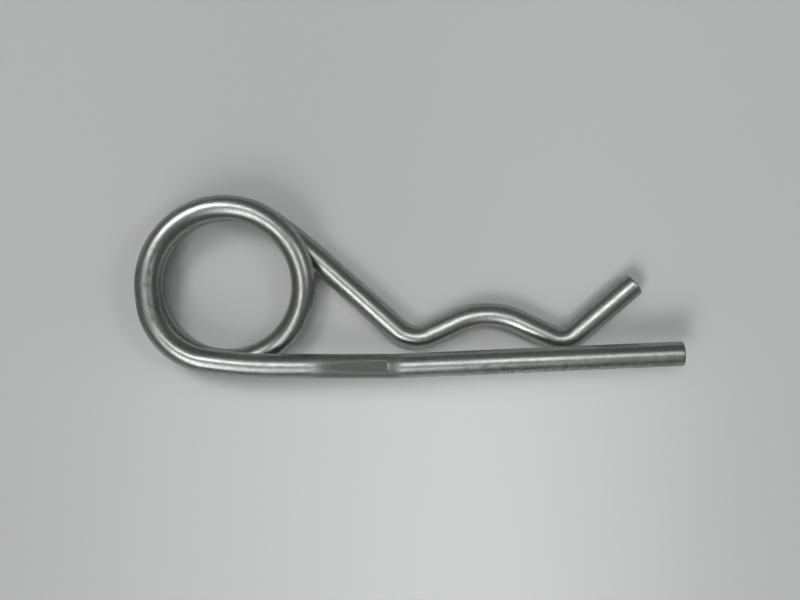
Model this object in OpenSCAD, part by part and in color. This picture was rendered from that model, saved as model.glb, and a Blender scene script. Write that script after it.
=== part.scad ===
// Hitch R clip pin: one length of round spring wire, bent cold.
// The wire runs from the tip of the wavy leg, one and a third times round the coil,
// and out along the straight leg, which goes through the cross hole of a hitch pin.
// The clip lies flat: its coil axis is Z, the floor is z = 0, and the straight leg points along +X.

/* [Wire] */
// Diameter of the round wire
wire_d = 4; // [3:0.1:5]
// Broken edge left on the two cut ends of the wire
end_break = 0.3; // [0.1:0.05:0.6]
// How much a long sweep draws the wire down in radius; a tight bend does it twice as much
draw_down = 0.012; // [0.01:0.001:0.015]

/* [Coil] */
// Bore of the coil, as wound on its mandrel
coil_bore = 21; // [18:0.5:26]
// Clear space between the lower and the upper turn
turn_gap = 0.4; // [0.3:0.05:1.2]
// Where the upper turn begins to open out, round from +X
coil_end_angle = 186; // [176:1:196]
// Radius of the long sweep that leads from the coil into either leg
sweep_r = 86; // [60:1:120]

/* [Straight leg] */
// Short straight where the wire comes off the mandrel
lead_run = 1.4; // [0.5:0.1:3]
// Inside radius of the bend from the coil towards the leg
lead_bend_r = 8.8; // [7:0.1:10]
// Part of that turn that is left to the long sweep
lead_sweep = 8.4; // [6:0.1:12]
// Straight root of the leg, from the sweep to the kink
root_run = 17.4; // [14:0.1:24]
// Angle of the kink that brings the leg back to the wavy one
kink_angle = 2.5; // [1:0.1:5]
// Inside radius of the kink
kink_bend_r = 18; // [12:1:30]
// Straight length of the leg beyond the kink
leg_run = 46.4; // [40:0.1:70]
// Length of the flat that the setting die leaves on top of the root
flat_len = 12; // [6:0.1:12]
// Depth of that flat at its step, next to the kink
flat_depth = 0.32; // [0.1:0.02:0.4]

/* [Wavy leg] */
// Part of the turn into the wavy leg that is left to the long sweep
entry_sweep = 7; // [5:0.5:10]
// Slope of the run from the coil down to the first trough
entry_angle = 41.8; // [38:0.2:46]
// Space between the first trough and the straight leg, as seen along the coil axis
trough_gap = 0.5; // [0.2:0.05:2]
// Distance from the first trough to the second
wave_pitch = 25.1; // [23:0.1:32]
// Slope of both flanks of the hump
flank_angle = 25; // [20:0.5:28]
// Inside radius of the hump, which seats on the hitch pin
hump_bend_r = 9.7; // [7:0.1:12]
// Inside radius of the first trough
trough_bend_r = 3; // [2:0.1:5]
// Inside radius of the second trough
mouth_bend_r = 1.5; // [1:0.1:4]
// Slope of the flared tip
tip_angle = 40.5; // [35:0.5:50]
// Length of the flared tip, from the corner of the second trough
tip_len = 15.2; // [12:0.1:22]

/* [Hidden] */
steel = [0.66, 0.68, 0.67];
wire_facets = 32;
$fn = wire_facets;
turn_steps = 72;    // steps in a full turn of the wire
seam_angle = -90;   // bends have their seam underneath, as the straights do
lap = 0.1;          // how far each length of wire runs into the next
joint_run = 0.5;    // plain wire left between the die flat and the kink
clear = 5;          // how far the flat's cutter reaches past the wire

// Wire and coil
wire_r = wire_d / 2;
sweep_wire_r = wire_r - draw_down;
bend_wire_r = wire_r - 2 * draw_down;
coil_r = coil_bore / 2 + wire_r;
rise = wire_d + turn_gap;   // the upper turn over the lower one
low_z = wire_r;
high_z = low_z + rise;

// On the right of the coil a single wire climbs from the lower turn to the upper one.
// It is a half turn in a tilted plane. With this tilt and radius both turns share one axis.
climb_tilt = atan(rise / (2 * coil_r));
climb_r = coil_r / cos(climb_tilt);
coil_start_angle = 90 - entry_angle + entry_sweep;
// halfway between the places where the two legs cross the coil
climb_mid_angle = (270 + 360 + coil_start_angle - entry_sweep) / 2;

// Bend radii along the wire's centre line
lead_r = lead_bend_r + wire_r;
kink_r = kink_bend_r + wire_r;
hump_r = hump_bend_r + wire_r;
trough_r = trough_bend_r + wire_r;
mouth_r = mouth_bend_r + wire_r;

// A place in the plan is [x, y], and a heading is an angle round from +X.
function along(a) = [cos(a), sin(a)];
function left_of(a) = [-sin(a), cos(a)];

// A run is a list of rows, as a wire bender is set: [feed, bend radius, bend angle].
// A bend to the left has an angle above zero. These give the place after a row.
function after_feed(p, h, row) = p + row[0] * along(h);
function after_row(p, h, row) =
    let (side = row[2] < 0 ? -1 : 1)
    after_feed(p, h, row) + side * row[1] * (left_of(h) - left_of(h + row[2]));
function after_rows(p, h, rows, i = 0) =
    i == len(rows) ? p : after_rows(after_row(p, h, rows[i]), h + rows[i][2], rows, i + 1);

// Straight leg: off the left of the upper turn, round below the coil, and out along +X
lead_start = coil_r * along(coil_end_angle);
lead_heading = coil_end_angle + 90;
lead_rows = [
    [lead_run, lead_r, 360 - lead_sweep - lead_heading],
    [0, sweep_r, lead_sweep],
];
root_start = after_rows(lead_start, lead_heading, lead_rows);
root_row = [root_run, kink_r, kink_angle];
leg_start = after_row(root_start, 0, root_row);

// Wavy leg: off the upper right of the lower turn, and down to a level near the straight leg
wave_start = coil_r * along(coil_start_angle);
wave_heading = coil_start_angle - 90;
entry_row = [0, sweep_r, -entry_sweep];
entry_start = after_row(wave_start, wave_heading, entry_row);
// height of a trough's lowest point over the corner of its two straights, for a radius of 1
trough_lift = (sin(entry_angle) + sin(flank_angle)) / sin(entry_angle + flank_angle) - 1;
corner_y = root_start[1] + wire_d + trough_gap - trough_r * trough_lift;
// straight lengths that the bends take up on each side of their corners
trough_setback = trough_r * tan((entry_angle + flank_angle) / 2);
hump_setback = hump_r * tan(flank_angle);
mouth_setback = mouth_r * tan((flank_angle + tip_angle) / 2);
flank_len = wave_pitch / 2 / cos(flank_angle);
entry_len = (entry_start[1] - corner_y) / sin(entry_angle);
wave_rows = [
    entry_row,
    [entry_len - trough_setback, trough_r, entry_angle + flank_angle],
    [flank_len - trough_setback - hump_setback, hump_r, -2 * flank_angle],
    [flank_len - hump_setback - mouth_setback, mouth_r, flank_angle + tip_angle],
];
wave_end = after_rows(wave_start, wave_heading, wave_rows);

// One bend of the wire from the origin, heading along +X and turning to the left
module bend(r, angle, section_r) {
    lap_angle = lap / r * 180 / PI;
    translate([0, r, 0])
        rotate([0, 0, -90 - lap_angle])
            rotate_extrude(angle = angle + 2 * lap_angle, $fn = turn_steps)
                translate([r, 0])
                    rotate(seam_angle)
                        circle(r = section_r, $fn = wire_facets);
}

// A straight length of the wire from the origin, heading along +X
module straight(length) {
    rotate([0, 90, 0])
        translate([0, 0, -lap])
            cylinder(r = wire_r, h = length + 2 * lap);
}

// One row of a run: the straight feed, then the bend
module bender_row(p, h, z, row) {
    section_r = row[1] == sweep_r ? sweep_wire_r : bend_wire_r;
    if (row[0] > 0)
        translate([each p, z])
            rotate([0, 0, h])
                straight(row[0]);
    translate([each after_feed(p, h, row), z])
        rotate([0, 0, h])
            if (row[2] < 0)
                mirror([0, 1, 0])
                    bend(row[1], -row[2], section_r);
            else
                bend(row[1], row[2], section_r);
}

// A whole run, row after row
module wire_run(p, h, z, rows, i = 0) {
    if (i < len(rows)) {
        bender_row(p, h, z, rows[i]);
        wire_run(after_row(p, h, rows[i]), h + rows[i][2], z, rows, i + 1);
    }
}

// The last straight of a leg, cut off square with its edge broken
module cut_end(p, h, z, length) {
    translate([each p, z])
        rotate([0, 90, h]) {
            translate([0, 0, -lap])
                cylinder(r = wire_r, h = lap + length - end_break);
            translate([0, 0, length - end_break])
                cylinder(r1 = wire_r, r2 = wire_r - end_break, h = end_break);
        }
}

// A level arc of the coil
module coil_arc(from_angle, to_angle, z) {
    translate([each coil_r * along(from_angle), z])
        rotate([0, 0, from_angle + 90])
            bend(coil_r, to_angle - from_angle, bend_wire_r);
}

// Lower turn, climb and upper turn
module coil() {
    coil_arc(coil_start_angle, climb_mid_angle - 90, low_z);
    translate([each coil_r * along(climb_mid_angle - 90), low_z])
        rotate([climb_tilt, 0, climb_mid_angle])
            bend(climb_r, 180, sweep_wire_r);
    coil_arc(climb_mid_angle + 90 - 360, coil_end_angle, high_z);
}

// The root of the straight leg, with the flat that the die leaves on top
module leg_root() {
    step_x = root_run - joint_run;
    translate([each root_start, high_z])
        difference() {
            straight(root_run);
            translate([step_x, 0, wire_r - flat_depth])
                rotate([0, atan(flat_depth / flat_len), 0])
                    translate([-flat_len - clear, -wire_d, 0])
                        cube([flat_len + clear, 2 * wire_d, clear]);
        }
}

module straight_leg() {
    wire_run(lead_start, lead_heading, high_z, lead_rows);
    leg_root();
    bender_row(after_feed(root_start, 0, root_row), 0, high_z, [0, kink_r, kink_angle]);
    cut_end(leg_start, kink_angle, high_z, leg_run);
}

module wavy_leg() {
    wire_run(wave_start, wave_heading, low_z, wave_rows);
    cut_end(wave_end, tip_angle, low_z, tip_len - mouth_setback);
}

module clip_wire() {
    color(steel) {
        wavy_leg();
        coil();
        straight_leg();
    }
}

clip_wire();
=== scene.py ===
# %% [markdown]
# # A hitch R clip pin in Blender
# The real clip is one length of round spring wire. A wire former winds it round a mandrel, bends
# a straight leg and a wavy leg, and the finished clip is zinc plated. The imported CAD model holds
# the same wire as exact cylinders and tori, and it stays the frame: this script adds the wire as
# one smooth skin with rounded ends and the flat of the die, and then its finish, with the marks
# that the tools leave, a painted dark reflection and a painted highlight round the die's step,
# the bench, whose paint carries a painted pool of light, and the light.

# %% Load the frame
import math

import bpy
from mathutils import Matrix, Vector


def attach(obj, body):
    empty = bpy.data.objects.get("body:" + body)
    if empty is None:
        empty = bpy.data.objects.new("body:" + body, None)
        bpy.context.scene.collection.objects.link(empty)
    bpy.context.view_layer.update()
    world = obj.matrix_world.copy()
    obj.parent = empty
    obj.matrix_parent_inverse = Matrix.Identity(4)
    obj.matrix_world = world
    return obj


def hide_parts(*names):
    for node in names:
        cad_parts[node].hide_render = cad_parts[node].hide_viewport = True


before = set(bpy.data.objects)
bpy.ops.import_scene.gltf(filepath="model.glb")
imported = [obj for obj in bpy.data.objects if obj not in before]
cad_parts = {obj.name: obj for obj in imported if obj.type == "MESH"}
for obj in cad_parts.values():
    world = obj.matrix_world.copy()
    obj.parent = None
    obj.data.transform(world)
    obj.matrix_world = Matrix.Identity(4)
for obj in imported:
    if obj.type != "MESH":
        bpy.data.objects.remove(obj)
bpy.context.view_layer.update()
MM = 0.001

# %% [markdown]
# ## The wire's centre line
# A wire former is set with a table of rows: feed so much wire, turn it by so much round a pin of
# that radius, roll it by so much about itself. The same three moves give the centre line here.
# Points could be typed in one by one, but a table of feeds, turns and rolls keeps every straight
# straight and every bend a true arc, and it says how the clip is made. Sizes are in millimetres.

# %% Sizes of the clip
wire_r = 2.0
coil_r = 12.5  # of the wire's centre line, as for every bend below
rise = 4.4  # from the lower turn of the coil to the upper one
low_z = wire_r
high_z = low_z + rise
sweep_r = 86.0  # the long sweep between the coil and either leg
entry_angle, entry_sweep = 41.8, 7.0
flank_angle, tip_angle = 25.0, 40.5
trough_r, hump_r, mouth_r = 5.0, 11.7, 3.5
wave_pitch, tip_len = 25.1, 15.2
coil_end = 186.0
lead_r, lead_sweep = 10.8, 8.4
lead_run = 1.4
root_run, kink_r, kink_angle, leg_run = 17.4, 20.0, 2.5, 46.4


def setback(radius, angle):
    """Length that a bend takes from the straight on each side of its corner."""
    return radius * math.tan(math.radians(angle) / 2)


# %% The former's two tables
trough_back = setback(trough_r, entry_angle + flank_angle)
hump_back = setback(hump_r, 2 * flank_angle)
mouth_back = setback(mouth_r, flank_angle + tip_angle)
flank_len = wave_pitch / 2 / math.cos(math.radians(flank_angle))
climb_tilt = math.degrees(math.atan(rise / (2 * coil_r)))
climb_r = coil_r / math.cos(math.radians(climb_tilt))
coil_start = 90 - entry_angle + entry_sweep
climb_middle = (270 + 360 + coil_start - entry_sweep) / 2
entry_run = 16.744  # brings the first trough to 0.5 mm from the straight leg, seen from above

wavy_rows = [  # from the start of the coil out along the wavy leg
    ("turn", sweep_r, -entry_sweep),
    ("feed", entry_run),
    ("turn", trough_r, entry_angle + flank_angle),
    ("feed", flank_len - trough_back - hump_back),
    ("turn", hump_r, -2 * flank_angle),
    ("feed", flank_len - hump_back - mouth_back),
    ("turn", mouth_r, flank_angle + tip_angle),
    ("feed", tip_len - mouth_back),
]
coil_rows = [  # from the start of the coil round it and out along the straight leg
    ("turn", coil_r, climb_middle - 90 - coil_start),
    ("roll", climb_tilt),
    ("turn", climb_r, 180),
    ("roll", climb_tilt),
    ("turn", coil_r, coil_end - (climb_middle + 90 - 360)),
    ("feed", lead_run),
    ("turn", lead_r, 360 - lead_sweep - (coil_end + 90)),
    ("turn", sweep_r, lead_sweep),
    ("feed", root_run),
    ("turn", kink_r, kink_angle),
    ("feed", leg_run),
]
print("rows:", len(wavy_rows), "for the wavy leg and", len(coil_rows), "for the rest")

# %% [markdown]
# The table is followed with a small moving frame, as a turtle would: its x axis is the way the
# wire runs and its y axis points to the side it turns to. Each row moves the frame, and points
# are dropped every third of a millimetre, which is fine enough for the tightest bend.


# %% Follow a table
POINT_STEP = 0.34
draw_down = 0.012  # a long sweep draws the wire down by this in radius, a tight bend by twice that
sweep_girth = 1 - draw_down / wire_r
bend_girth = 1 - 2 * draw_down / wire_r


def spaced(length):
    """Shares of a row at which to drop a point, from just past its start to its end."""
    count = max(1, math.ceil(length / POINT_STEP))
    return [(i + 1) / count for i in range(count)]


def follow(rows, place):
    """Points of (place, girth) that the rows give, and the place reached after each row."""
    points, stations = [(place.translation.copy(), bend_girth)], []
    for kind, size, *more in rows:
        girth = 1.0
        if kind == "feed":
            moves = [Matrix.Translation((size * s, 0, 0)) for s in spaced(size)]
        elif kind == "turn":
            girth = sweep_girth if size in (sweep_r, climb_r) else bend_girth
            angle = math.radians(more[0])
            centre = Matrix.Translation((0, math.copysign(size, angle), 0))
            moves = [
                centre @ Matrix.Rotation(angle * s, 4, "Z") @ centre.inverted()
                for s in spaced(abs(angle) * size)
            ]
        else:
            place = place @ Matrix.Rotation(math.radians(size), 4, "X")
            continue
        points += [((place @ move).translation, girth) for move in moves]
        place = place @ moves[-1]
        stations.append(place.translation.copy())
    return points, stations


start = (
    Matrix.Rotation(math.radians(coil_start), 4, "Z")
    @ Matrix.Translation((coil_r, 0, low_z))
    @ Matrix.Rotation(math.radians(90), 4, "Z")
)
wavy, _ = follow(wavy_rows, start @ Matrix.Rotation(math.pi, 4, "Z"))
rest, rest_stations = follow(coil_rows, start)
whole = wavy[::-1] + rest[1:]
root_end = rest_stations[6]  # where the straight root ends and the kink begins
wire_length = sum((b[0] - a[0]).length for a, b in zip(whole, whole[1:]))
print(len(whole), "points,", round(wire_length, 1), "mm of wire")
print("tip at", [round(v, 2) for v in whole[0][0]], "end at", [round(v, 2) for v in whole[-1][0]])

# %% [markdown]
# ## The skin of the wire
# The two ends are sheared square, and the plating drum rubs their edges round. Just before the
# kink, the die that sets the straight leg leaves a shallow flat on its top side, which ends in a
# small step. All of this follows one rule along one path, so the skin is a Geometry Nodes tree:
# the path carries its own girth, a circle is swept along it, and the flat is pressed into it.
# A Bevel on a curve would give a plain tube, without the girth, the flat or the coordinates
# that run with the wire, and these carry the drawing marks round the coil later on.

# %% Girth of the wire along its path
end_round = 0.32  # radius that the drum leaves on the sheared edges
round_rings = 6
ends_clear = 1.4 * end_round  # plain points nearer to an end than this make way for its rings
ease = 4  # points over which one girth passes into the next


def eased(points):
    """The same points with each girth averaged over its neighbours."""
    girths = [g for _, g in points]
    spans = [girths[max(0, i - ease) : i + ease + 1] for i in range(len(girths))]
    return [(p, sum(span) / len(span)) for (p, _), span in zip(points, spans)]


def end_rings(end, next_in):
    """Rings at a cut end that round its edge, from the full girth outwards."""
    inward = (next_in - end).normalized()
    rings = []
    for i in range(round_rings + 1):
        angle = math.pi / 2 * i / round_rings
        back = end_round * (1 - math.sin(angle))
        rings.append((end + inward * back, 1 - end_round * (1 - math.cos(angle)) / wire_r))
    return rings


tip, leg_end = whole[0][0], whole[-1][0]
tip_rings = end_rings(tip, whole[2][0])
leg_rings = end_rings(leg_end, whole[-3][0])
middle = [
    (p, g)
    for p, g in eased(whole)
    if min((p - tip).length, (p - leg_end).length) > ends_clear
]
path = tip_rings[::-1] + middle + leg_rings
print("rings along the wire:", len(path))

# %% Rings at the step of the die flat
flat_len, flat_depth, step_back = 12.0, 0.32, 0.5
step_x = root_end.x - step_back
step_width = 0.06


def on_root(point):
    """Whether a point of the centre line belongs to the straight leg, not to the coil above it."""
    return point.z > low_z + 1 and point.y < root_end.y / 2


# two rings stand close together at the step, so that it stays crisp
path = [(p, g) for p, g in path if not (on_root(p) and abs(p.x - step_x) < POINT_STEP / 2)]
after = next(i for i, (p, g) in enumerate(path) if on_root(p) and p.x > step_x)
for offset in (step_width / 2, -step_width / 2):
    path.insert(after, (Vector((step_x + offset, root_end.y, high_z)), 1.0))
print("the flat ends at x =", round(step_x, 2), "mm")

# %% A helper that adds one node to any tree


def add(tree, kind, links=None, **settings):
    """Adds a node. links gives an input, by name or number, a value, a socket or another node."""
    node = tree.nodes.new(kind)
    for name, value in settings.items():
        setattr(node, name, value)
    for name, value in (links or {}).items():
        by_name = (socket for socket in node.inputs if socket.name == name and socket.enabled)
        socket = node.inputs[name] if isinstance(name, int) else next(by_name)
        if isinstance(value, bpy.types.Node):
            value = next(output for output in value.outputs if output.enabled)
        if isinstance(value, bpy.types.NodeSocket):
            tree.links.new(value, socket)
        else:
            socket.default_value = value
    return node


# %% The skin: its inputs
skin = bpy.data.node_groups.new("wire_skin", "GeometryNodeTree")
for name, kind, low in (
    ("Path", "NodeSocketGeometry", None),
    ("Wire Radius", "NodeSocketFloat", 0.0),
    ("Facets", "NodeSocketInt", 12),
    ("Flat Start", "NodeSocketFloat", None),
    ("Flat End", "NodeSocketFloat", None),
    ("Flat Depth", "NodeSocketFloat", 0.0),
    ("Leg Height", "NodeSocketFloat", None),
    ("Leg Side", "NodeSocketFloat", None),
    ("Plating", "NodeSocketMaterial", None),
    ("Cut End", "NodeSocketMaterial", None),
):
    socket = skin.interface.new_socket(name, in_out="INPUT", socket_type=kind)
    if low is not None:
        socket.min_value = low
skin.interface.new_socket("Skin", in_out="OUTPUT", socket_type="NodeSocketGeometry")
given = add(skin, "NodeGroupInput").outputs

# %% The skin: a circle swept along the path
# the path becomes a curve that knows how far along the wire each point is
curve = add(skin, "GeometryNodeMeshToCurve", {"Mesh": given["Path"]})
upright = add(skin, "GeometryNodeSetCurveNormal", {"Curve": curve}, mode="Z_UP")
along = add(skin, "GeometryNodeCaptureAttribute", {"Geometry": upright}, domain="POINT")
along.capture_items.new("FLOAT", "Along")
how_far = add(skin, "GeometryNodeSplineParameter").outputs["Length"]
skin.links.new(how_far, along.inputs["Along"])

# the section is a circle that knows its own x and y
section = add(
    skin,
    "GeometryNodeCurvePrimitiveCircle",
    {"Resolution": given["Facets"], "Radius": given["Wire Radius"]},
)
around = add(skin, "GeometryNodeCaptureAttribute", {"Geometry": section}, domain="POINT")
around.capture_items.new("VECTOR", "Around")
skin.links.new(add(skin, "GeometryNodeInputPosition").outputs[0], around.inputs["Around"])

# the sweep, at the girth that the path carries
girth = add(skin, "GeometryNodeInputNamedAttribute", {"Name": "girth"}, data_type="FLOAT")
sweep = add(
    skin,
    "GeometryNodeCurveToMesh",
    {
        "Curve": along.outputs["Geometry"],
        "Profile Curve": around.outputs["Geometry"],
        "Scale": girth,
        "Fill Caps": True,
    },
)

# %% The skin: coordinates that run with the wire
across = add(skin, "ShaderNodeSeparateXYZ", {0: around.outputs["Around"]}).outputs
drawn = add(skin, "ShaderNodeCombineXYZ", {0: along.outputs["Along"], 1: across[0], 2: across[1]})
marked = add(
    skin,
    "GeometryNodeStoreNamedAttribute",
    {"Geometry": sweep, "Name": "drawn", "Value": drawn},
    data_type="FLOAT_VECTOR",
    domain="POINT",
)

# %% The skin: the die flat
# a smooth face sinks from the crown towards the step, steeply at first, as the die rolls in,
# and nothing on the root rises above it
place = add(skin, "GeometryNodeInputPosition")
xyz = add(skin, "ShaderNodeSeparateXYZ", {0: place}).outputs
left = {"Value": xyz[0], "From Min": given["Flat Start"], "From Max": given["Flat End"]}
still = add(skin, "ShaderNodeMapRange", {**left, "To Min": 1.0, "To Max": 0.0})
run_in = add(skin, "ShaderNodeMath", {0: still, 1: 2.0}, operation="POWER")
share = add(skin, "ShaderNodeMath", {0: 1.0, 1: run_in}, operation="SUBTRACT")
sunk = add(skin, "ShaderNodeMath", {0: share, 1: given["Flat Depth"]}, operation="MULTIPLY")
highest = {0: given["Leg Height"], 1: given["Wire Radius"]}
crown = add(skin, "ShaderNodeMath", highest, operation="ADD")
plane = add(skin, "ShaderNodeMath", {0: crown, 1: sunk}, operation="SUBTRACT")
pressed_z = add(skin, "ShaderNodeMath", {0: xyz[2], 1: plane}, operation="MINIMUM")
pressed = add(skin, "ShaderNodeCombineXYZ", {0: xyz[0], 1: xyz[1], 2: pressed_z})

# only the top of the straight leg, and only between the two ends of the flat
inside = None
for value, operation, limit in (
    (xyz[0], "GREATER_THAN", "Flat Start"),
    (xyz[0], "LESS_THAN", "Flat End"),
    (xyz[1], "LESS_THAN", "Leg Side"),
    (xyz[2], "GREATER_THAN", "Leg Height"),
):
    test = add(skin, "ShaderNodeMath", {0: value, 1: given[limit]}, operation=operation)
    if inside is None:
        inside = test
    else:
        inside = add(skin, "ShaderNodeMath", {0: inside, 1: test}, operation="MULTIPLY")

# how far each point is pushed down is kept, because the plating is dull there, and its colour is
# painted darker there as a dark reflection
push = add(skin, "ShaderNodeMath", {0: xyz[2], 1: plane}, operation="SUBTRACT")
down = add(skin, "ShaderNodeMath", {0: push, 1: 0.0}, operation="MAXIMUM")
pushed = add(skin, "ShaderNodeMath", {0: down, 1: inside}, operation="MULTIPLY")
noted = add(
    skin,
    "GeometryNodeStoreNamedAttribute",
    {"Geometry": marked, "Name": "pressed", "Value": pushed},
    data_type="FLOAT",
    domain="POINT",
)
die = add(
    skin, "GeometryNodeSetPosition", {"Geometry": noted, "Selection": inside, "Position": pressed}
)

# %% The skin: shading and materials
# the two cut ends are the only faces with more than four corners
corners = add(skin, "GeometryNodeInputMeshFaceNeighbors").outputs["Vertex Count"]
many = {"data_type": "INT", "operation": "GREATER_THAN"}
is_end = add(skin, "FunctionNodeCompare", {2: corners, 3: 4}, **many)
smooth = add(skin, "GeometryNodeSetShadeSmooth", {"Geometry": die, "Shade Smooth": True})
flat_ends = add(
    skin,
    "GeometryNodeSetShadeSmooth",
    {"Geometry": smooth, "Selection": is_end, "Shade Smooth": False},
)
real = add(skin, "GeometryNodeRealizeInstances", {"Geometry": flat_ends})
plated = add(skin, "GeometryNodeSetMaterial", {"Geometry": real, "Material": given["Plating"]})
finished = add(
    skin,
    "GeometryNodeSetMaterial",
    {"Geometry": plated, "Selection": is_end, "Material": given["Cut End"]},
)
add(skin, "NodeGroupOutput", {"Skin": finished})
print("nodes in the skin:", len(skin.nodes))

# %% [markdown]
# ## The finish: bright zinc plate on drawn spring wire
# The wire is drawn through dies, which leaves very fine lines along it. It is bent, and then
# tumbled in a plating drum, where a thin layer of zinc grows on it with a fine satin grain and
# a faint blue-green cast from its passivation. So it is all metal: its colour sits in the base
# colour, and the rest is roughness and bump. Every pattern reads the coordinates that run with
# the wire, so that the lines follow it round the coil, as the real ones do.


# %% Colour from a hex value
def colour(hex_value):
    """A linear colour from an sRGB hex value such as "C8CCCA"."""
    parts = [int(hex_value[i : i + 2], 16) / 255 for i in (0, 2, 4)]
    linear = [v / 12.92 if v <= 0.04045 else ((v + 0.055) / 1.055) ** 2.4 for v in parts]
    return (*linear, 1.0)


# %% Coordinates for the plating, in millimetres
zinc = bpy.data.materials.new("bright_zinc_plate")
zinc.use_nodes = True
tree = zinc.node_tree
shader = tree.nodes["Principled BSDF"]
wire_place = add(tree, "ShaderNodeAttribute", attribute_name="drawn").outputs["Vector"]
clip_place = add(tree, "ShaderNodeTexCoord").outputs["Object"]
to_mm = (1 / MM,) * 3
on_wire = add(tree, "ShaderNodeVectorMath", {0: wire_place, 1: to_mm}, operation="MULTIPLY")
on_clip = add(tree, "ShaderNodeVectorMath", {0: clip_place, 1: to_mm}, operation="MULTIPLY")

# %% Drawing lines, grain and patches
# stretch gives how many features there are in a millimetre along the wire and across it.
# Real drawing lines are 0.02 mm wide and the grain is finer, which is too fine to show, so the
# lines are drawn about 0.2 mm wide and the grain about 0.5 mm.
patterns = {}
for name, stretch, detail in (
    ("lines", (0.12, 5.0, 5.0), 3.0),
    ("grain", (1.5, 2.2, 2.2), 4.0),
    ("patches", (0.07, 0.4, 0.4), 2.0),
    ("mottle", (0.9, 1.3, 1.3), 3.0),
    ("specks", (1.3, 1.7, 1.7), 1.0),
):
    scaled = add(tree, "ShaderNodeVectorMath", {0: on_wire, 1: stretch}, operation="MULTIPLY")
    patterns[name] = add(
        tree,
        "ShaderNodeTexNoise",
        {"Vector": scaled, "Scale": 1.0, "Detail": detail, "Roughness": 0.6},
    )
print("patterns of the plating:", ", ".join(patterns))

# %% Where the plating is dull
clip_xyz = add(tree, "ShaderNodeSeparateXYZ", {0: on_clip}).outputs
SOFT = {"interpolation_type": "SMOOTHSTEP"}


def band(axis, none_at, full_at):
    """A soft mask along one axis of the clip, from none at one place to full at another, in mm."""
    span = {"From Min": none_at, "From Max": full_at}
    return add(tree, "ShaderNodeMapRange", {"Value": clip_xyz["XYZ".index(axis)], **span}, **SOFT)


def both(first, second):
    """Where two masks are full together."""
    return add(tree, "ShaderNodeMath", {0: first, 1: second}, operation="MULTIPLY")


# the die flat is dull wherever the die has pushed the wire down, and its colour is painted darker
# there as a dark reflection
FULL_PRESS = 0.14  # mm of push at which the flat is fully dull and fully painted dark
push_m = add(tree, "ShaderNodeAttribute", attribute_name="pressed").outputs["Fac"]
pushes = {"Value": push_m, "From Min": 0.0, "From Max": FULL_PRESS * MM}
on_flat = add(tree, "ShaderNodeMapRange", pushes)

# the die bruises the top of the wire from before the flat to just past its step, which makes it
# dull, and its colour is painted darker there as a dark reflection; the edge of the step is left
# out of it, which leaves a painted highlight there. Each pair says how far from the step, or from
# the middle of the wire, in mm, the mask is none and full.
BEFORE_STEP, PAST_STEP = (-14, -9), (2.8, 0.8)
EDGE_X = (0.35, 0.1)
EDGE_NEAR, EDGE_FAR = (-0.6, -0.2), (1.0, 0.7)
TOP_Z = (0.6, 1.4)
LEG_SIDE = (-6, -7)  # keeps the coil out of it
# the top of the straight leg, where the bruised plating is also painted darker as a dark
# reflection
struck_and_darkened_top = both(band("Y", *LEG_SIDE), band("Z", *(high_z + z for z in TOP_Z)))
bruise_and_dark_reflection_run = both(
    band("X", *(step_x + x for x in BEFORE_STEP)), band("X", *(step_x + x for x in PAST_STEP))
)
# a painted highlight: the edge of the step is spared from the darker paint, as if it caught the
# light
painted_step_highlight = both(
    both(band("X", *(step_x - x for x in EDGE_X)), band("X", *(step_x + x for x in EDGE_X))),
    both(
        band("Y", *(root_end.y + y for y in EDGE_NEAR)),
        band("Y", *(root_end.y + y for y in EDGE_FAR)),
    ),
)
off_painted_step_highlight = add(tree, "ShaderNodeMath", {0: 1.0, 1: painted_step_highlight}, operation="SUBTRACT")
bruise_and_dark_reflection = both(both(bruise_and_dark_reflection_run, struck_and_darkened_top), off_painted_step_highlight)

# the outside of the coil is dull where the finished clips rub in their box
rub_place, rub_reach, rub_core, rub_most = (-12.5, -2.0, 8.0), 8.5, 0.3, 0.9
rub_gap = add(tree, "ShaderNodeVectorMath", {0: on_clip, 1: rub_place}, operation="DISTANCE")
rubbed = add(
    tree,
    "ShaderNodeMapRange",
    {
        "Value": rub_gap.outputs["Value"],
        "From Min": rub_reach,
        "From Max": rub_reach * rub_core,
        "To Max": rub_most,
    },
    **SOFT,
)
dull = on_flat
for mask in (bruise_and_dark_reflection, rubbed):
    dull = add(tree, "ShaderNodeMath", {0: dull, 1: mask}, operation="MAXIMUM")

# %% Where the plating is mottled and pitted
# faintly everywhere, and fully where the clip lay against others in the drum: on the near half
# of the straight leg, and on the outside of the coil
FAINT = 0.25
WORN_X, WORN_Y = (4, 16), (0.9, -0.1)  # mm from the step, and from the middle of the leg
worn_leg = both(
    band("X", *(step_x + x for x in WORN_X)), band("Y", *(root_end.y + y for y in WORN_Y))
)
worn = FAINT
for mask in (worn_leg, rubbed):
    worn = add(tree, "ShaderNodeMath", {0: worn, 1: mask}, operation="MAXIMUM")
blot_span = {"From Min": 0.45, "From Max": 0.62}
blots = add(tree, "ShaderNodeMapRange", {"Value": patterns["mottle"], **blot_span})
mottled = both(blots, worn)
pit_span = {"From Min": 0.62, "From Max": 0.76}
pits = add(tree, "ShaderNodeMapRange", {"Value": patterns["specks"], **pit_span})
pitted = both(pits, worn)

# %% Colour of the plating
bluish, yellowish = colour("9AA3A1"), colour("A6A79F")
tint = add(
    tree,
    "ShaderNodeMix",
    {"Factor": patterns["patches"], "A": bluish, "B": yellowish},
    data_type="RGBA",
)
shade = add(
    tree,
    "ShaderNodeMapRange",
    {"Value": patterns["grain"], "From Min": 0.3, "From Max": 0.7, "To Min": 0.84, "To Max": 1.1},
)
grained = add(
    tree,
    "ShaderNodeMix",
    {"Factor": 1.0, "A": tint, "B": shade},
    data_type="RGBA",
    blend_type="MULTIPLY",
)
plating = grained
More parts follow.
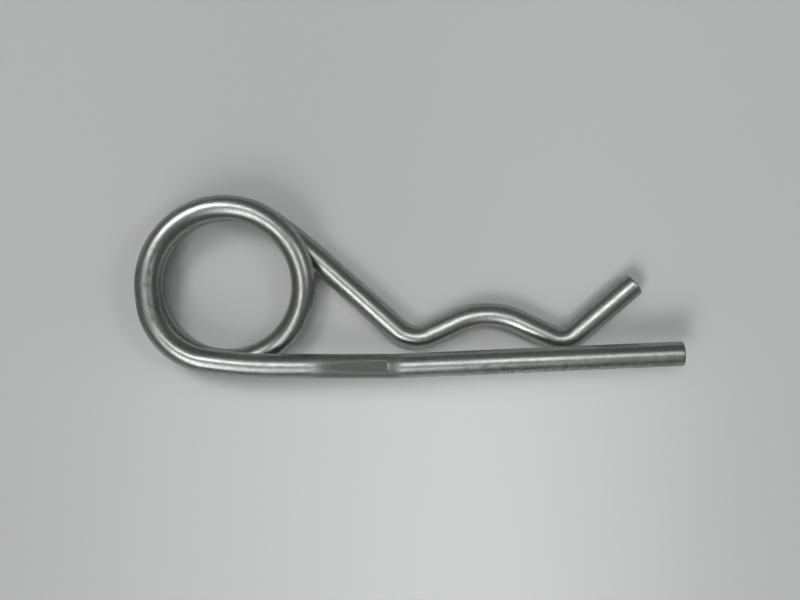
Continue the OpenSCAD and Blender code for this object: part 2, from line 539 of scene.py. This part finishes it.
# darker tones: the bruised run and the flat partly as painted dark reflection, with the step's
# edge spared as a painted highlight; the rubbed, mottled and pitted tones are wear
for mask, tone in (
    (bruise_and_dark_reflection, "83847F"),
    (on_flat, "656864"),
    (rubbed, "858A87"),
    (mottled, "767A75"),
    (pitted, "666965"),
):
    plating = add(
        tree, "ShaderNodeMix", {"Factor": mask, "A": plating, "B": colour(tone)}, data_type="RGBA"
    )
tree.links.new(plating.outputs[2], shader.inputs["Base Color"])
shader.inputs["Metallic"].default_value = 1.0

# %% Roughness of the plating
patchy = {"From Min": 0.3, "From Max": 0.7, "To Min": 0.24, "To Max": 0.31}
roughness = add(tree, "ShaderNodeMapRange", {"Value": patterns["patches"], **patchy})
TIMES_PLUS = {"operation": "MULTIPLY_ADD"}
for pattern, amount in ((patterns["lines"], 0.07), (dull, 0.14), (bruise_and_dark_reflection, 0.2), (mottled, 0.08)):
    roughness = add(tree, "ShaderNodeMath", {0: pattern, 1: amount, 2: roughness}, **TIMES_PLUS)
tree.links.new(roughness.outputs[0], shader.inputs["Roughness"])

# %% Relief of the plating, in millimetres
relief = 0.0
for pattern, height in ((patterns["lines"], 0.012), (patterns["grain"], 0.02), (pitted, -0.01)):
    relief = add(tree, "ShaderNodeMath", {0: pattern, 1: height, 2: relief}, **TIMES_PLUS)
bump = add(tree, "ShaderNodeBump", {"Height": relief, "Distance": MM, "Strength": 1.0})
tree.links.new(bump.outputs[0], shader.inputs["Normal"])

# %% [markdown]
# The shear that cuts the wire smears the first half of each end face and tears the second, so
# the ends are duller than the rest, with fine lines across them. The zinc is thin there.

# %% The cut ends
cut = bpy.data.materials.new("sheared_wire_end")
cut.use_nodes = True
tree = cut.node_tree
shader = tree.nodes["Principled BSDF"]
SHEAR_LINES = (0.9, 0.9, 6.0)  # features in a millimetre: the lines lie level, 0.17 mm apart
TORN_DEPTH = 0.06  # mm
end_place = add(tree, "ShaderNodeTexCoord").outputs["Object"]
per_metre = tuple(lines / MM for lines in SHEAR_LINES)
shear_lines = add(tree, "ShaderNodeVectorMath", {0: end_place, 1: per_metre}, operation="MULTIPLY")
torn = add(tree, "ShaderNodeTexNoise", {"Vector": shear_lines, "Scale": 1.0, "Detail": 4.0})
steel = add(
    tree,
    "ShaderNodeMix",
    {"Factor": torn, "A": colour("7B807E"), "B": colour("A0A4A2")},
    data_type="RGBA",
)
tree.links.new(steel.outputs[2], shader.inputs["Base Color"])
shader.inputs["Metallic"].default_value = 1.0
shader.inputs["Roughness"].default_value = 0.42
relief = add(tree, "ShaderNodeMath", {0: torn, 1: TORN_DEPTH}, operation="MULTIPLY")
bump = add(tree, "ShaderNodeBump", {"Height": relief, "Distance": MM, "Strength": 1.0})
tree.links.new(bump.outputs[0], shader.inputs["Normal"])

# %% Make the wire
fit = 0.997  # the skin is a hair thinner than the solid, so it stays inside its facets
facets = 64  # round the wire
sharp_angle = 20  # degrees, above which an edge between faces is left sharp
ring_mesh = bpy.data.meshes.new("clip_wire_path")
edges = [(i, i + 1) for i in range(len(path) - 1)]
ring_mesh.from_pydata([p * MM for p, _ in path], edges, [])
values = ring_mesh.attributes.new("girth", "FLOAT", "POINT")
values.data.foreach_set("value", [g * fit for _, g in path])
former = bpy.data.objects.new("clip_wire_former", ring_mesh)
bpy.context.scene.collection.objects.link(former)
modifier = former.modifiers.new("skin", "NODES")
modifier.node_group = skin
inputs = {
    "Wire Radius": wire_r * MM,
    "Facets": facets,
    "Flat Start": (step_x - flat_len) * MM,
    "Flat End": step_x * MM,
    "Flat Depth": flat_depth * MM,
    "Leg Height": high_z * MM,
    "Leg Side": root_end.y / 2 * MM,
    "Plating": zinc,
    "Cut End": cut,
}
for item in skin.interface.items_tree:
    if item.item_type == "SOCKET" and item.name in inputs:
        modifier[item.identifier] = inputs[item.name]

# %% Turn the result into a plain mesh
bpy.context.view_layer.update()
evaluated = former.evaluated_get(bpy.context.evaluated_depsgraph_get())
wire_mesh = bpy.data.meshes.new_from_object(evaluated)
former.modifiers.remove(modifier)
bpy.data.objects.remove(former)
wire_mesh.name = "clip_wire_skin"
wire_mesh.set_sharp_from_angle(angle=math.radians(sharp_angle))
wire = bpy.data.objects.new("clip_wire_skin", wire_mesh)
bpy.context.scene.collection.objects.link(wire)
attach(wire, "root")
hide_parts("clip_wire")
print("skin:", len(wire_mesh.vertices), "vertices,", len(wire_mesh.polygons), "faces")
print("materials:", [m.name for m in wire_mesh.materials])
print("sharp edges:", sum(e.use_edge_sharp for e in wire_mesh.edges))

# %% [markdown]
# ## The bench and the light
# The clip lies on a bench whose paint carries a painted pool of light, paler near the middle and
# at the near side. A metal shows what stands round it, so the light matters more than the colour.
# Three soft beams share the bench, and their edges meet across the clip.
# On the coil's half, one comes from the left of the far side, so that the two turns throw their
# shadow into the eye. On the legs' half, one comes nearly from above and draws the bright line
# down the straight leg, and one comes from the near side. A tall window at the near left lights
# the shoulder of the coil, two weaker boxes fill in from the right and from above, and the room
# round them is dim.

# %% The bench
BENCH_HALF = 0.6
bench_mesh = bpy.data.meshes.new("bench")
corners = [(x * BENCH_HALF, y * BENCH_HALF, 0) for x, y in ((-1, -1), (1, -1), (1, 1), (-1, 1))]
bench_mesh.from_pydata(corners, [], [(0, 1, 2, 3)])
bench = bpy.data.objects.new("bench", bench_mesh)
bpy.context.scene.collection.objects.link(bench)
print("bench:", round(2 * BENCH_HALF, 2), "m square")

# %% The paint of the bench: a painted pool of light, paler at the near side, in the middle
paint = bpy.data.materials.new("bench_paint_with_painted_light")
paint.use_nodes = True
bench_mesh.materials.append(paint)
tree = paint.node_tree
shader = tree.nodes["Principled BSDF"]
shader.inputs["Roughness"].default_value = 0.7
bench_place = add(tree, "ShaderNodeTexCoord").outputs["Object"]
bench_xy = add(tree, "ShaderNodeSeparateXYZ", {0: bench_place}).outputs
MIDDLE_X = 0.028  # metres, as the two spans over which the painted pool of light makes the paint paler
SIDEWAYS, NEARER = (0.072, 0.004), (0.0, -0.021)
from_middle = add(tree, "ShaderNodeMath", {0: bench_xy[0], 1: MIDDLE_X}, operation="SUBTRACT")
sideways = add(tree, "ShaderNodeMath", {0: from_middle}, operation="ABSOLUTE")
# a painted pool of light: the paint is paler near the middle and the near side, darker away from
# them
painted_light_pool = 1.0
for value, (none_at, full_at) in ((sideways, SIDEWAYS), (bench_xy[1], NEARER)):
    span = {"Value": value, "From Min": none_at, "From Max": full_at}
    fade = add(tree, "ShaderNodeMapRange", span, **SOFT)
    painted_light_pool = add(tree, "ShaderNodeMath", {0: painted_light_pool, 1: fade}, operation="MULTIPLY")
# the darker and the paler grey are mixed by the painted pool of light, not by a lamp
paint_and_painted_light = add(
    tree,
    "ShaderNodeMix",
    {"Factor": painted_light_pool, "A": colour("BDBDBD"), "B": colour("DADADA")},
    data_type="RGBA",
)
tree.links.new(paint_and_painted_light.outputs[2], shader.inputs["Base Color"])

# %% A lamp
EVEN = math.pi**2  # watts a square metre of distance that make white paper render as white
OPEN = 180  # degrees, the beam of a plain soft box


def lamp(name, azimuth, elevation, size, share, aim=(28, -2), distance=0.8, beam=OPEN):
    """A soft box that faces the bench from a compass direction and a height, in degrees.

    Its share is what it adds to the light on the bench, where 1 lights white paper to white.
    A narrow beam lights only what lies straight in front of the box.
    """
    a, e = math.radians(azimuth), math.radians(elevation)
    away = Vector((math.cos(a) * math.cos(e), math.sin(a) * math.cos(e), math.sin(e)))
    up = Vector((0, 1, 0))
    up = (up - away * up.dot(away)).normalized()
    turn = Matrix((up.cross(away), up, away)).transposed()
    data = bpy.data.lights.new(name, "AREA")
    data.shape, data.size, data.size_y = "RECTANGLE", *size
    data.spread = math.radians(beam)
    reach = distance**2 if beam == OPEN else size[0] * size[1] / math.pi
    data.energy = share * EVEN * reach / math.sin(e)
    box = bpy.data.objects.new(name, data)
    box.matrix_world = Matrix.Translation(Vector((*aim, 0)) * MM + away * distance) @ turn.to_4x4()
    box.visible_camera = False
    bpy.context.scene.collection.objects.link(box)
    return box


# %% The lamps and the room
# the beams meet at this X, and each is as wide as its half of the bench
MEET_X, BEAM_HALF = 30, 150  # mm
BEAM_LENGTH, BEAM_DISTANCE = 0.4, 0.2  # metres
BEAM_SPREAD = 30  # degrees
for name, azimuth, elevation, side, share in (
    ("coil_beam", 130, 61, -1, 0.31),
    ("leg_beam", 92, 82, 1, 0.14),
    ("near_beam", 248, 53, 1, 0.18),
):
    a, e = math.radians(azimuth), math.radians(elevation)
    lean = math.hypot(math.cos(a) * math.cos(e), math.sin(e))
    width = 2 * BEAM_HALF * math.sin(e) / lean
    aim = (MEET_X + side * BEAM_HALF, 0)
    size = (width * MM, BEAM_LENGTH)
    lamp(name, azimuth, elevation, size, share, aim, distance=BEAM_DISTANCE, beam=BEAM_SPREAD)
lamp("tall_window", 238, 50, (0.22, 0.56), 0.22)
lamp("right_box", 2, 55, (0.18, 0.18), 0.09)
lamp("overhead_box", 118, 76, (0.17, 0.17), 0.09)
world = bpy.data.worlds.new("dim_room")
world.use_nodes = True
world.node_tree.nodes["Background"].inputs["Color"].default_value = colour("6C6E70")
bpy.context.scene.world = world

# %% The camera
camera_data = bpy.data.cameras.new("camera")
CAMERA_AT = (28.35, -2.5, 207.0)  # mm, straight above the clip
camera_data.sensor_width = 36.0
camera_data.lens = 56.0
camera = bpy.data.objects.new("camera", camera_data)
camera.location = Vector(CAMERA_AT) * MM
bpy.context.scene.collection.objects.link(camera)
bpy.context.scene.camera = camera
bpy.context.scene.view_settings.view_transform = "Standard"
